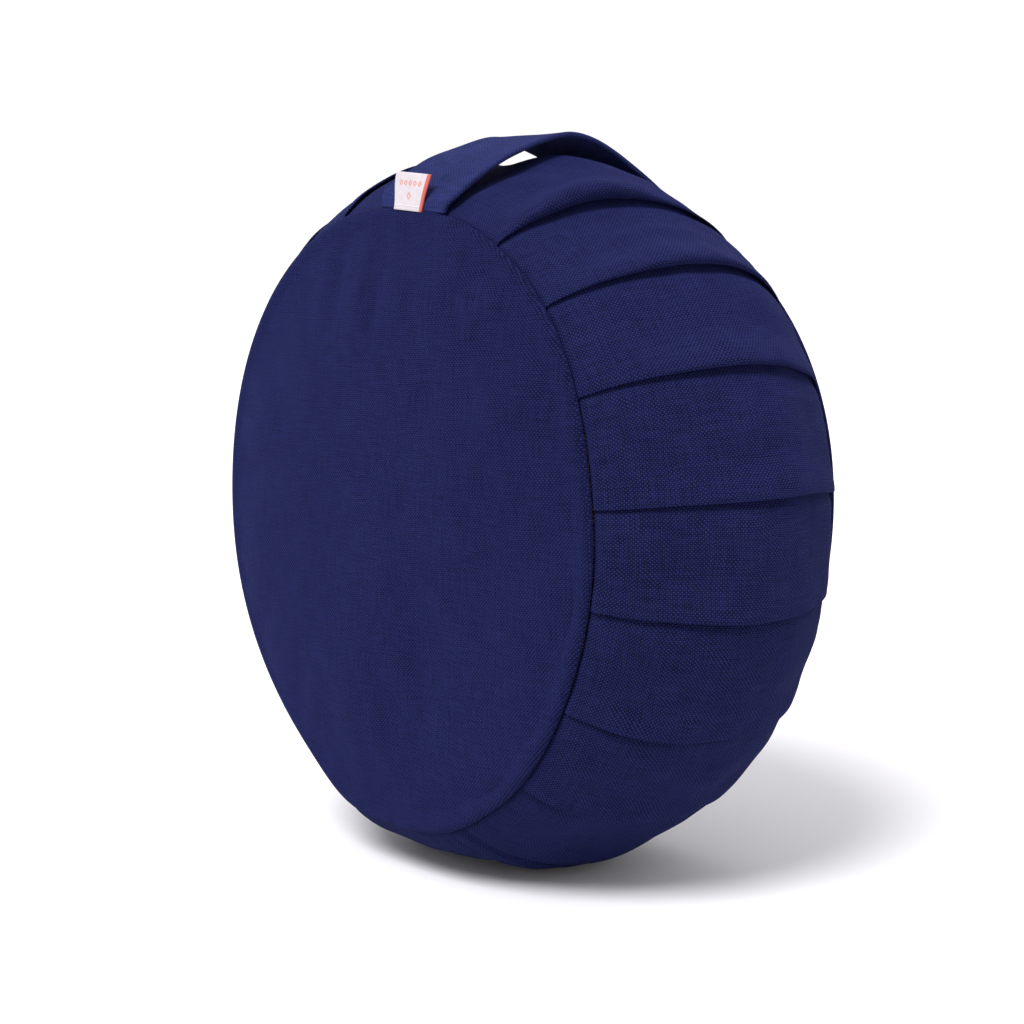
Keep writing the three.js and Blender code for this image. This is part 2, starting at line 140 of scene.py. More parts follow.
def quads(rows, columns, start=0, flip=False):
    """Faces of a grid of rows x columns points, numbered row by row from start."""
    i, j = np.meshgrid(np.arange(rows - 1), np.arange(columns - 1), indexing="ij")
    a = (start + i * columns + j).ravel()
    corners = [a, a + 1, a + columns + 1, a + columns]
    if flip:
        corners = corners[::-1]
    return np.stack(corners, 1).tolist()


def tube_faces(rings, count, capped=True, looped=False):
    """Faces of rings of count points, one after another. It is capped, open or a closed loop."""
    faces = []
    for i in range(rings if looped else rings - 1):
        this, following = i * count, (i + 1) % rings * count
        for j in range(count):
            k = (j + 1) % count
            faces.append([this + j, this + k, following + k, following + j])
    if capped:
        faces.append(list(range(count))[::-1])
        faces.append([(rings - 1) * count + j for j in range(count)])
    return faces


def flipped(faces):
    return [face[::-1] for face in faces]


def tube(path, radii, count=6):
    """Points and faces of a capped tube along path, with a radius at each of its points."""
    path = np.asarray(path, float)
    ahead = np.gradient(path, axis=0)
    ahead /= np.linalg.norm(ahead, axis=1)[:, None]
    side = np.cross(ahead[0], [0.3, 0.5, 0.8])
    points = []
    for centre, direction, radius in zip(path, ahead, radii):
        side = side - direction * (side @ direction)
        side /= np.linalg.norm(side)
        other = np.cross(direction, side)
        for turn in np.arange(count) * 2 * math.pi / count:
            points.append(centre + radius * (side * math.cos(turn) + other * math.sin(turn)))
    return np.array(points), tube_faces(len(path), count)


def gathered(parts):
    """Several (points, faces) pairs as one."""
    points, faces, start = [], [], 0
    for part_points, part_faces in parts:
        points.append(part_points)
        faces += [[start + k for k in face] for face in part_faces]
        start += len(part_points)
    return np.concatenate(points), faces


def waves(seed, count, low, high):
    """A smooth, seeded height field over two lengths in millimetres: waves between two lengths."""
    made = np.random.default_rng(seed)
    length = low * (high / low) ** made.random(count)
    heading = made.random(count) * 2 * math.pi
    phase = made.random(count) * 2 * math.pi

    def field(u, v):
        total = 0
        for size, turn, shift in zip(length, heading, phase):
            along = (u * math.cos(turn) + v * math.sin(turn)) * 2 * math.pi / size
            total = total + np.sin(along + shift)
        return total / math.sqrt(count)

    return field


def smooth_step(t):
    t = np.clip(t, 0, 1)
    return t * t * (3 - 2 * t)


def bell(distance, spread):
    return np.exp(-((distance / spread) ** 2))


def turn_between(angle, other):
    return (angle - other + 180) % 360 - 180


def rounded(past, radius):
    """How far a surface drops where its edge is rounded: past is the distance in from the edge."""
    inside = np.clip(past, 0, radius)
    return radius - np.sqrt(np.maximum(0, radius**2 - (radius - inside) ** 2))


def spoke(angles, out):
    """X, and height over the axis, at given angles and distances from the axis."""
    return out * np.cos(angles * RAD), out * np.sin(angles * RAD)


def ring_at(angles, out, y):
    """Points round the axis at given angles, distances from it and y."""
    x, z = spoke(angles, out)
    return np.stack(np.broadcast_arrays(x, y, AXIS + z), -1)


# ---- the cushion's form ----

def settled(angle):
    """How far the filling may push the form off true round: nothing at the zip."""
    return 1 - bell(turn_between(angle, ZIP_ANGLE), ZIP_CALM)


# Where the filling leaves the front seam slacker or fuller, and where it leaves the band so:
# angle, spread in degrees, and the pull inward.
SEAM_PULLS = [(14, 17, 3.5), (85, 12, 1.8), (-62, 9, 1.2), (-106, 11, -3.6)]
BELLY_PULLS = [
    (STRAP_ANGLE, 22, 5.96), (91, 11, 7.4), (22, 18, -1.0), (-107, 10, -2.0), (-40, 14, 0.8),
    (57, 5, 2.6), (65.5, 3, -0.8),
]


def seam_radius(angle, across=-1.0):
    """A seam's distance from the axis: the front seam is at -1 across the band, the back at 1."""
    t = np.asarray(angle) * RAD
    shift = -0.1 - 0.32 * np.sin(2 * t) - 0.99 * np.cos(3 * t)
    shift = shift + 1.70 * np.sin(3 * t) + 0.75 * np.sin(4 * t)
    for at, spread, pull in SEAM_PULLS:
        shift = shift - pull * bell(turn_between(angle, at), spread) * (1 - across) / 2
    return SEAM + shift * settled(angle)


def belly_radius(angle):
    t = np.asarray(angle) * RAD
    shift = -0.29 * np.cos(2 * t) + 1.10 * np.cos(3 * t) - 1.01 * np.sin(3 * t)
    for at, spread, pull in BELLY_PULLS:
        shift = shift - pull * bell(turn_between(angle, at), spread)
    return BELLY + shift * settled(angle)


def band_point(angle, across, height):
    """A point over the band, at a height along the cloth's normal. The floor presses it flat."""
    seam, belly = seam_radius(angle, across), belly_radius(angle)
    bulge = belly - seam
    radius = (BAND_HALF**2 + bulge**2) / (2 * bulge)
    along = across * np.arcsin(BAND_HALF / radius)
    out = belly - radius + (radius + height) * np.cos(along)
    y = (radius + height) * np.sin(along)
    x, z = spoke(angle, out)
    return np.stack([x, y, on_floor(AXIS + z)], -1)


def on_floor(z):
    """Heights over the floor, with what would sink below it pressed flat."""
    return FLOOR_EASE * np.logaddexp(0, z / FLOOR_EASE)


# ---- cloth simulation of the stuffed cover ----

SIM_ROWS = 25
SIM_RINGS = 17
SIM_CELL = 6.0  # between two columns, at the belly
SIM_FRAMES = 20
PLEAT_HOLD = 0.75  # how firmly a pleat's line is held: a seam's is 1
BAND_SETTLE = 1.0  # the band's simulated swell is lowered by this
BAND_CAP, PANEL_CAP = 2.6, 3.0  # the most that the swell may add


def sim_columns():
    """Angles of the simulated cover's columns: a whole number between each pair of pleats."""
    edges = [pleat[0] for pleat in PLEATS]
    edges = [edges[-1] - 360] + edges
    columns, held = [], []
    for start, end in zip(edges[:-1], edges[1:]):
        count = max(1, round((end - start) * RAD * BELLY / SIM_CELL))
        columns += list(np.linspace(start, end, count, endpoint=False))
        held += [True] + [False] * (count - 1)
    return np.array(columns), np.array(held)


def panel_profile(share):
    """A panel's swell at a share of its seam's radius: flat in the middle, round at its edge."""
    flat = PANEL_FLAT / SEAM
    past = np.clip((share - flat) / (1 - flat), 0, 1)
    return CROWN * np.sqrt(1 - past**2)


def simulate_cover():
    """Blows the sewn cover up against its seams and pleats, and returns how far its band and
    its panels move out: (angles, across, band move) and (angles, shares, front move, back move)."""
    columns, held = sim_columns()
    count = len(columns)
    across = np.linspace(-1, 1, SIM_ROWS)
    shares = np.sin(np.linspace(0.06, 1, SIM_RINGS) * math.pi / 2)[:-1]

    def face(side):
        rows = []
        for share in shares:
            out = share * seam_radius(columns, side)
            y = np.full(count, side * (RIM + panel_profile(share)))
            rows.append(ring_at(columns, out, y))
        return rows

    front = face(-1)
    band = [band_point(columns, a, 0.0) for a in across]
    grid = np.array(front + band + face(1)[::-1])
    points = grid.reshape(-1, 3)
    faces = []
    for i in range(len(grid) - 1):
        for j in range(count):
            k = (j + 1) % count
            faces.append([i * count + j, (i + 1) * count + j, (i + 1) * count + k, i * count + k])
    faces.append(list(range(count)))
    faces.append([(len(grid) - 1) * count + j for j in range(count)][::-1])
    cover = make_mesh("cover_blank", points, faces)
    first = len(front)
    seams = (first, first + SIM_ROWS - 1)
    pins = cover.vertex_groups.new(name="held")
    for row in seams:
        pins.add([row * count + j for j in range(count)], 1.0, "REPLACE")
    for row in range(first + 1, first + SIM_ROWS - 1):
        pins.add([row * count + int(j) for j in np.flatnonzero(held)], PLEAT_HOLD, "REPLACE")
    cloth = cover.modifiers.new("Cloth", "CLOTH")
    settings = {
        "quality": 6, "mass": 0.3, "tension_stiffness": 30, "compression_stiffness": 30,
        "shear_stiffness": 12, "bending_stiffness": 0.6, "shrink_min": -0.022, "use_pressure": True,
        "uniform_pressure_force": 4, "vertex_group_mass": "held", "pin_stiffness": 1.5,
    }
    for key, value in settings.items():
        setattr(cloth.settings, key, value)
    cloth.settings.effector_weights.gravity = 0
    cloth.collision_settings.use_collision = False
    cloth.point_cache.frame_start, cloth.point_cache.frame_end = 1, SIM_FRAMES
    scene = bpy.context.scene
    for step in range(1, SIM_FRAMES + 1):
        scene.frame_set(step)
    blown = cover.evaluated_get(bpy.context.evaluated_depsgraph_get()).to_mesh()
    moved = np.empty(len(points) * 3)
    blown.vertices.foreach_get("co", moved)
    moved = moved.reshape(grid.shape) / MM
    scene.frame_set(1)
    bpy.data.objects.remove(cover)
    move = moved - grid
    radial = np.stack([np.cos(columns * RAD), np.zeros(count), np.sin(columns * RAD)], -1)
    lean = across[:, None, None] * REACH
    normal = np.cos(lean) * radial + np.sin(lean) * np.array([0, 1, 0])
    band_move = (move[first:first + SIM_ROWS] * normal).sum(-1)
    front_move = -move[:first, :, 1]
    back_move = move[first + SIM_ROWS:][::-1][:, :, 1]
    return columns, across, band_move, shares, front_move, back_move


def sampler(first_axis, angles, values, cap):
    """A smooth lookup of a simulated move by (position on the first axis, angle), within a cap."""
    values = cap * np.tanh(values / cap)
    order = np.argsort(angles)
    angles, values = angles[order], values[:, order]
    wide = np.concatenate([angles[-3:] - 360, angles, angles[:3] + 360])
    padded = np.concatenate([values[:, -3:], values, values[:, :3]], 1)
    for _ in range(2):
        padded[:, 1:-1] = padded[:, :-2] / 4 + padded[:, 1:-1] / 2 + padded[:, 2:] / 4
        padded[1:-1] = padded[:-2] / 4 + padded[1:-1] / 2 + padded[2:] / 4

    def weights(axis, at):
        cell = np.clip(np.searchsorted(axis, at) - 1, 0, len(axis) - 2)
        t = (at - axis[cell]) / (axis[cell + 1] - axis[cell])
        return cell, smooth_step(np.clip(t, 0, 1)) * 0.35 + np.clip(t, 0, 1) * 0.65

    def look(at, angle):
        at, angle = np.broadcast_arrays(at, angle)
        low = wide[0]
        i, s = weights(first_axis, np.clip(at, first_axis[0], first_axis[-1]))
        j, t = weights(wide, (angle - low) % 360 + low)
        near = padded[i, j] * (1 - t) + padded[i, j + 1] * t
        far = padded[i + 1, j] * (1 - t) + padded[i + 1, j + 1] * t
        return near * (1 - s) + far * s

    return look


sim = simulate_cover()
band_swell = sampler(sim[1], sim[0], sim[2] - BAND_SETTLE, BAND_CAP)
front_swell = sampler(sim[3], sim[0], sim[4], PANEL_CAP)
back_swell = sampler(sim[3], sim[0], sim[5], PANEL_CAP)


# ---- pleated side band ----

BAND_ROWS = 85
INNER_ROWS = 9
slow = waves(11, 14, 55, 160)
quick_waves = waves(12, 18, 14, 40)
pucker = waves(13, 10, 7, 13)
edge_wander = waves(14, 6, 60, 150)


def band_columns():
    """The band's columns from one folded end to the other. Each is (pleat, part, place): a place
    on the plain band, or a place along a pleat's turned layers."""
    columns = []
    start = BAND_START
    for number in range(len(PLEATS) + 1):
        end = PLEATS[number][0] if number < len(PLEATS) else BAND_END
        length = (end - start) * RAD * BELLY
        roll = PLEATS[number - 1][1] if number else 0
        inner = length - 7 if number < len(PLEATS) else length
        begin = roll + 1.2 if number else 0
        count = max(3, round((inner - begin) / 2.3))
        for place in np.linspace(begin, inner, count):
            columns.append((number - 1, "top", place))
        if number < len(PLEATS):
            for place in (-5.2, -3.6, -2.4, -1.4, -0.6, 0.4, 1.8, 4.0, PLEAT_DEPTH - 1.5):
                columns.append((number, "low", place))
            for turn in (-60, 0, 60):
                columns.append((number, "turn", turn))
            for place in (PLEAT_DEPTH - 1.5, 5.5):
                columns.append((number, "back", place))
            for turn in (270, 240, 212, 188, 165, 142, 118, 90):
                columns.append((number, "lip", turn))
        start = end
    return columns


def pleat_angle(number, across):
    """A pleat's line wanders a little between its seams."""
    angle = PLEATS[number][0]
    wander = 0.9 * edge_wander(angle * 3.0, across * 70) * (1 - across**2)
    return angle + wander / BELLY / RAD


def pleat_roll(number, across):
    _, roll, fullest, spread = PLEATS[number]
    full = bell(across - fullest, spread) * np.sqrt(1 - across**2)
    return 0.3 + (roll - 0.3) * full


def layer_gap(across):
    return LAYER * (0.35 + 0.65 * np.sqrt(1 - across**2))


def band_rows(count):
    t = np.linspace(-1, 1, count)
    return 0.62 * t + 0.38 * np.sin(math.pi / 2 * t)


def side_band():
    across = band_rows(BAND_ROWS)
    across[0], across[-1] = -1, 1
    columns = band_columns()
    angles = np.zeros((len(columns), BAND_ROWS))
    heights, laid = np.zeros_like(angles), np.zeros_like(angles)
    gap = layer_gap(across)
    under = PRESS * (0.3 + 0.7 * np.sqrt(1 - across**2))
    for i, (number, part, place) in enumerate(columns):
        if number < 0:
            angles[i] = BAND_START + place / PER_DEGREE
            laid[i] = angles[i] * PER_DEGREE
            continue
        roll = pleat_roll(number, across)
        base = pleat_angle(number, across)
        shift = laid_shift = place
        bend = place * RAD
        if part == "top":
            height = (gap + 2 * roll) * (1 - smooth_step((place - roll) / PLEAT_FALL)) ** 1.2
        elif part == "low":
            height = -under * smooth_step((place + 5) / 5)
        elif part == "turn":
            shift = laid_shift = PLEAT_DEPTH + gap / 2 * math.cos(bend)
            height = gap / 2 * (1 + math.sin(bend)) - under
        elif part == "back":
            height = gap - under * smooth_step(place / 4)
        else:
            shift = roll * (1 + math.cos(bend))
            height = gap + roll * (1 + math.sin(bend))
            laid_shift = roll * (1 - (place - 90) * RAD)
        angles[i] = base + shift / PER_DEGREE
        heights[i] = height
        laid[i] = base * PER_DEGREE + laid_shift
    # The stuffing's swell, creases and small unevenness, the same for all layers at one place.
    v = across[None, :]
    u = angles * PER_DEGREE
    y = v * HALF_GIRTH
    middle = 1 - v**2
    swell = band_swell(v, angles)
    swell = swell + 0.9 * slow(u, y) * middle + 0.16 * quick_waves(u, y) * middle**0.5
    near_seam = (1 - np.abs(v)) * HALF_GIRTH
    puckered = np.exp(-near_seam / 9) * (1 - np.exp(-near_seam / 1.5))
    swell = swell + 0.30 * pucker(u, y * 0.25) * puckered
    for at, spread, from_across, to_across, rise in CREASES:
        ridge = bell(angles - at - 1.2 * v, spread)
        length = smooth_step((v - from_across) / 0.4) * smooth_step((to_across - v) / 0.25)
        swell = swell + rise * ridge * length
    seam_drop = rounded(near_seam, SEAM_ROLL)
    folded_end = np.minimum(angles - BAND_START, BAND_END - angles) * PER_DEGREE
    end_drop = rounded(folded_end, FOLD_ROUND)
    calm = smooth_step(folded_end / 22)
    total = heights + swell * calm - seam_drop - end_drop
    outer = band_point(angles, v, total)
    uv = np.stack([laid, np.repeat(y, len(columns), 0)], -1)
    # A plain inner face closes the cloth.
    inner_across = np.linspace(-1, 1, INNER_ROWS)
    inner_angles = np.linspace(angles[0].mean(), angles[-1].mean(), len(columns))[:, None]
    depth = -3.6 - 0.4 * (1 - inner_across[None, :] ** 2)
    inner = band_point(inner_angles, inner_across[None, :] * 0.985, depth)
    inner_y = inner_across[None, :] * HALF_GIRTH
    inner_uv = np.stack(np.broadcast_arrays(inner_angles * PER_DEGREE, inner_y), -1)
    start = outer.shape[0] * BAND_ROWS
    faces = quads(len(columns), BAND_ROWS) + quads(len(columns), INNER_ROWS, start, flip=True)
    for i in range(len(columns) - 1):
        a, b = i * BAND_ROWS, (i + 1) * BAND_ROWS
        c, d = start + i * INNER_ROWS, start + (i + 1) * INNER_ROWS
        faces.append([b, a, c, d])
        faces.append([a + BAND_ROWS - 1, b + BAND_ROWS - 1, d + INNER_ROWS - 1, c + INNER_ROWS - 1])
    ratio = (BAND_ROWS - 1) / (INNER_ROWS - 1)
    for column, turned in ((0, False), (len(columns) - 1, True)):
        for k in range(INNER_ROWS - 1):
            low, high = round(k * ratio), round((k + 1) * ratio)
            strip = [column * BAND_ROWS + row for row in range(low, high + 1)]
            strip += [start + column * INNER_ROWS + k + 1, start + column * INNER_ROWS + k]
            faces.append(strip[::-1] if turned else strip)
    points = np.concatenate([outer.reshape(-1, 3), inner.reshape(-1, 3)])
    uv = np.concatenate([uv.reshape(-1, 2), inner_uv.reshape(-1, 2)])
    return make_mesh("side_band_cloth", points, faces, uv)


# Soft creases that run along the band: angle, spread in degrees, from, to, rise.
CREASES = [
    (19.5, 0.9, 0.05, 0.98, 0.9), (16.5, 0.8, 0.30, 0.98, -0.5), (34.0, 1.2, 0.2, 0.95, 0.5),
    (-4.0, 1.0, -0.1, 0.9, 0.35), (50.5, 1.6, -0.9, 0.4, 0.5), (-22.0, 1.2, -0.7, 0.5, 0.35),
    (128.0, 1.2, -0.9, 0.5, 0.6), (150.0, 1.0, -0.6, 0.9, 0.5), (-130.0, 1.2, -0.5, 0.9, 0.5),
]


# ---- round panels ----

# Soft upright folds that hang below the strap: where along X, half width, rise.
SOFT_FOLDS = [(-46, 6, 0.7), (-33, 5, -0.7), (-14, 6, 0.8), (2, 5, -0.6), (20, 7, 0.6)]


def panel(name, side, swell_of, seed):
    """One crowned panel: its face, the edge rolled into the seam, and its inner side."""
    segments = 336
    angles = np.arange(segments) * 360 / segments - 180
    ripples = waves(seed, 16, 45, 120)
    fine = waves(seed + 1, 20, 12, 32)
    radial = np.random.default_rng(seed + 2)
    shares = np.sin(np.linspace(0, 1, 74) * math.pi / 2)[1:]
    rows, uvs = [], []
    pull = np.zeros(segments)
    for _ in range(26):
        pull = pull + radial.uniform(0.3, 1.0) * bell(
            turn_between(angles, radial.uniform(-180, 180)), radial.uniform(1.2, 3.2)
        ) * radial.choice([-1, 1])
    seam = seam_radius(angles, side)
    for share in shares:
        out = share * seam
        x, z = spoke(angles, out)
        inward = (1 - share) * SEAM
        rise = RIM + panel_profile(share) + swell_of(share, angles) * smooth_step(inward / 10)
        rise = rise + (0.55 * ripples(x, z) + 0.07 * fine(x, z)) * smooth_step(inward / 25)
        rise = rise + 0.33 * pull * np.exp(-inward / 26) * smooth_step(inward / 7)
        for at, wide, fold in SOFT_FOLDS:
            rise = rise + fold * bell(x - at - 0.1 * (z - 100), wide) * bell(z - 100, 26)
        rows.append(np.stack([x, side * rise, AXIS + z], -1))
        uvs.append(np.stack([x, z], -1))
    for turn in (22, 45, 68, 90):
        out = seam - EDGE_ROUND + EDGE_ROUND * math.cos(turn * RAD)
        y = RIM - PANEL_EDGE * math.sin(turn * RAD)
        rows.append(ring_at(angles, out, side * y))
        uvs.append(np.stack(spoke(angles, seam + turn / 30), -1))
    for share in (0.97, 0.94, 0.85, 0.6, 0.3):
        out = share * (seam - 2.0)
        y = RIM + panel_profile(share) - (PANEL_EDGE if share > 0.96 else PANEL_WALL)
        rows.append(ring_at(angles, out, side * y))
        uvs.append(np.stack(spoke(angles, out), -1))
    middle = rows[0].mean(0)
    inner_middle = np.array([0, side * (RIM + CROWN - PANEL_WALL), AXIS])
    points = np.concatenate([np.concatenate(rows), [middle, inner_middle]])
    uv = np.concatenate([np.concatenate(uvs), [[0, 0], [0, 0]]])
    faces = tube_faces(len(rows), segments, capped=False)
    first, last = len(points) - 2, len(points) - 1
    end = (len(rows) - 1) * segments
    for j in range(segments):
        k = (j + 1) % segments
        faces.append([first, k, j])
        faces.append([end + j, end + k, last])
    if side > 0:
        faces = flipped(faces)
    return make_mesh(name, points, faces, uv)


# ---- carry strap ----

def smooth_path(points, count):
    """A smooth path through rough points, at even steps."""
    points = np.asarray(points, float)
    steps = np.concatenate([[0], np.cumsum(np.linalg.norm(np.diff(points, axis=0), axis=1))])
    at = np.linspace(0, steps[-1], count)
    path = np.stack([np.interp(at, steps, points[:, k]) for k in range(points.shape[1])], -1)
    width = max(3, count // 36)
    for _ in range(3):
        before, after = 2 * path[:1] - path[width:0:-1], 2 * path[-1:] - path[-2:-width - 2:-1]
        wide = np.concatenate([before, path, after])
        path = np.stack([
            np.convolve(wide[:, k], np.ones(2 * width + 1) / (2 * width + 1), "valid")
            for k in range(points.shape[1])
        ], -1)
    return path


STRAP_HALF_THICK = 1.1
LAID_HALF, LAID_EDGE = 24.0, 4.0  # the strap's half width and its edge in the weave's map
# The strap's two edges as heights over the axis against distance from the middle plane.
NEAR_EDGE = [
    (-66.3, 131.2), (-68.4, 132.6), (-68.2, 134.4), (-58.6, 141.3), (-47.9, 148.6), (-36.6, 155.0),
    (-18.6, 162.4), (-0.6, 167.2), (10.2, 165.8), (18.9, 162.4), (25.9, 158.8), (30.6, 156.6),
    (40.8, 150.6), (52, 143.6), (61, 137), (68.2, 133), (68.4, 131.6), (66.3, 130.2),
]
FAR_EDGE = [
    (-66.3, 135.2), (-68.2, 136.8), (-67.8, 138.8), (-60, 143.8), (-50.4, 150.0), (-42.2, 155.2),
    (-27.9, 160.2), (-11.6, 165.4), (-0.2, 167.6), (19.6, 162.0), (34.5, 155.8), (48, 149.2),
    (59, 142.6), (67.6, 138), (68.2, 136.4), (66.3, 134.8),
]


def carry_strap():
    count, wide = 150, 19
    near, far = smooth_path(NEAR_EDGE, count), smooth_path(FAR_EDGE, count)
    middle_x = (strap_low[0] + strap_high[0]) / 2
    half_width = (strap_high[0] - strap_low[0]) / 2
    share = np.linspace(-1, 1, count)
    lift = smooth_step((1 - np.abs(share)) / 0.16)
    half = half_width * (0.87 + 0.13 * lift)
    across = np.linspace(-1, 1, wide)
    ripple = waves(31, 10, 25, 70)
    grid = np.zeros((count, wide, 3))
    for j, c in enumerate(across):
        t = (c + 1) / 2
        line = far * (1 - t) + near * t
        grid[:, j, 0] = middle_x + half * c
        grid[:, j, 1] = line[:, 0]
        crest = 0.4 * bell(c + 0.15, 0.5) + 0.3 * c * c
        z = AXIS + line[:, 1] + lift * (crest + 0.15 * ripple(share * 80, c * LAID_HALF))
        grid[:, j, 2] = z
    du, dv = np.gradient(grid, axis=0), np.gradient(grid, axis=1)
    normal = np.cross(dv, du)
    normal /= np.linalg.norm(normal, axis=-1)[..., None]
    normal *= np.sign(normal[count // 2, wide // 2, 2])
    rings = []
    steps = np.linalg.norm(np.diff(grid[:, wide // 2], axis=0), axis=1)
    lengths = np.concatenate([[0], np.cumsum(steps)])
    uvs = []

    def hem(i, edge, sign, outward, laid):
        """The cloth's turn round one edge of the strap, from 30 to 150 degrees of it."""
        for past in (30, 65, 115, 150):
            bend = sign * (90 - past) * RAD
            way = normal[i, edge] * math.sin(bend) * 1.1 + outward * math.cos(bend)
            ring.append(grid[i, edge] + STRAP_HALF_THICK * way)
            ring_uv.append((lengths[i], laid + past / 90 * 1.6))

    for i in range(count):
        side = dv[i] / np.linalg.norm(dv[i], axis=-1)[:, None]
        ring, ring_uv = [], []
        for j in range(wide):
            edge = 0.15 * bell((1 - abs(across[j])) * 24, 2.5)
            ring.append(grid[i, j] + normal[i, j] * (STRAP_HALF_THICK + edge))
            ring_uv.append((lengths[i], across[j] * LAID_HALF))
        hem(i, -1, 1, side[-1], LAID_HALF)
        for j in range(wide - 1, -1, -1):
            ring.append(grid[i, j] - normal[i, j] * STRAP_HALF_THICK)
            ring_uv.append((lengths[i], LAID_EDGE + 2 * LAID_HALF - across[j] * LAID_HALF))
        hem(i, 0, -1, -side[0], LAID_EDGE + 3 * LAID_HALF)
        rings.append(ring)
        uvs.append(ring_uv)
    size = len(rings[0])
    points = np.array(rings).reshape(-1, 3)
    uv = np.array(uvs).reshape(-1, 2)
    return make_mesh("strap_cloth", points, tube_faces(count, size), uv)


# ---- label ----

LABEL_LEAN = 12.0
LABEL_HALF_THICK = 0.5
STITCH_ROW = 0.125  # how far up the label its stitches run


def label_frame():
    """The label's own frame at its hinge: origin, along its width, up its face, and out of it."""
    hinge = joints["label_fold"]
    origin = np.array(hinge["pos_m"]) / MM
    along = np.array(hinge["axis"], float)
    along /= np.linalg.norm(along)
    lean = LABEL_LEAN * RAD
    upright = np.array([-along[2], 0, along[0]])
    up = upright * math.cos(lean) + np.array([0, 1, 0]) * math.sin(lean)
    return origin, along, up, np.cross(along, up)


def label_spot(u, v, lift):
    """A point of the label, u across it and v up it, at a height over its middle layer."""
    origin, along, up, out = label_frame()
    left = -9.6 - 3.6 * smooth_step(v / 0.9) - 0.5 * np.sin(math.pi * v)
    right = 10.7 + 0.9 * v**1.4
    x = left + (right - left) * u
    z = -5.4 + 16.6 * v
    wave = 0.5 * np.sin(2.6 * u + 0.6) * v + 0.35 * np.sin(math.pi * v) * (2 * u - 1)
    return origin + along * x + up * z + out * (lift + wave)


def label_tab():
    rows, columns = 26, 32
    points, uvs = [], []
    us = np.linspace(0, 1, columns)
    # Each column is one closed ring: up the front layer, over the fold and down the back layer.
    ring = [(v, 1.0) for v in np.linspace(0, 0.96, rows)]
    ring += [(0.975, 0.8), (0.99, 0.45), (0.995, 0.0), (0.99, -0.45), (0.975, -0.8)]
    ring += [(v, -1.0) for v in np.linspace(0.96, 0, rows)]
    for u in us:
        edge = 0.72 if u in (us[0], us[-1]) else 1.0
        for v, face in ring:
            points.append(label_spot(u, v, face * LABEL_HALF_THICK * edge))
            uvs.append((u, v if face >= 0 else 2 - v))
    return make_mesh("label_tab", np.array(points), tube_faces(columns, len(ring)), np.array(uvs))


def stitch(a, b, out, radius):
    """One stitch from a to b that dips into the cloth at both ends."""
    shares = np.linspace(0, 1, 7)
    path = [a + (b - a) * s + out * radius * (1.5 * math.sin(math.pi * s) - 0.9) for s in shares]
    return tube(path, radius * (0.55 + 0.45 * np.sin(math.pi * shares)))


def label_stitches():
    out = label_frame()[3]
    parts = []
    for k in range(11):
        u = 0.04 + k * 0.083
        ends = [label_spot(w, STITCH_ROW, LABEL_HALF_THICK + 0.1) for w in (u, u + 0.058)]
        parts.append(stitch(*ends, out, 0.17))
    return make_mesh("label_stitches", *gathered(parts))


# ---- seam threads ----

THREAD_IN, THREAD_UNDER = 2.3, 1.7  # inward from the seam, and under the panel's rim
PLY_OUT, PLY_RADIUS = 0.28, 0.3


def seam_thread(name, side):
    """Two plies twisted round each other all along a seam, just under its cloth."""
    count, around = 1400, 5
    angles = np.arange(count) * 2 * math.pi / count
    twist = np.arange(count) * 2 * math.pi / 10
    parts = []
    for ply in (0, math.pi):
        centre = seam_radius(angles / RAD, side) - THREAD_IN + PLY_OUT * np.cos(twist + ply)
        y = side * (RIM - THREAD_UNDER) + PLY_OUT * np.sin(twist + ply)
        rings = []
        for turn in np.arange(around) * 2 * math.pi / around:
            out, rise = centre + PLY_RADIUS * math.cos(turn), PLY_RADIUS * math.sin(turn)
            rings.append(ring_at(angles / RAD, out, y + rise))
        faces = tube_faces(count, around, capped=False, looped=True)
        parts.append((np.stack(rings, 1).reshape(-1, 3), flipped(faces)))
    return make_mesh(name, *gathered(parts))


# ---- inner case and its filling ----

LINER_HEIGHT = box_mm("liner_side_band")[1][0] - BELLY
LINER_WALL = 1.2
FILLING_HEIGHT = box_mm("hull_filling")[1][0] - BELLY
INNER_SEAM = 4.6  # how far inside the cover's seams the case's own seams lie
CASE_SLACK = 1.6  # room between the case's crowns and the cover's
FILLING_EDGE = 61.4  # where the hulls' crowns meet their side, from the middle plane
FILLING_SEAM = 7.0  # how far inside the cover's seams that is
DISC_POINTS = 160


def dome_row(angles, side, share, middle_y, edge_y, inset):
    """One ring of a crowned disc that follows the cover's seam."""
    out = share * (seam_radius(angles, side) - inset)
    y = side * (edge_y + (middle_y - edge_y) * panel_profile(share) / CROWN)
    return ring_at(angles, out, y)


def inner_disc(name, side):
    low, high = box_mm("liner_back_panel")
    angles = np.arange(DISC_POINTS) * 360 / DISC_POINTS
    shares = np.sin(np.linspace(0.05, 1, 20) * math.pi / 2)
    middle_y, edge_y = high[1] - CASE_SLACK, low[1] + LINER_WALL
    rows = [dome_row(angles, side, share, middle_y, edge_y, INNER_SEAM) for share in shares]
    rows += [row - [0, side * LINER_WALL, 0] for row in rows[::-1]]
    faces = tube_faces(len(rows), len(angles))
    if side < 0:
        faces = flipped(faces)
    return make_mesh(name, np.concatenate(rows), faces)


def inner_band(name):
    across = np.linspace(-1, 1, 17) * box_mm("liner_side_band")[1][1] / BAND_HALF
    rings = []
    for angle in np.linspace(-179.8, 179.8, 180):
        outer = band_point(angle, across, LINER_HEIGHT)
        inner = band_point(angle, across[::-1], LINER_HEIGHT - LINER_WALL)
        rings.append(np.concatenate([outer, inner]))
    return make_mesh(name, np.concatenate(rings), tube_faces(len(rings), 2 * len(across)))


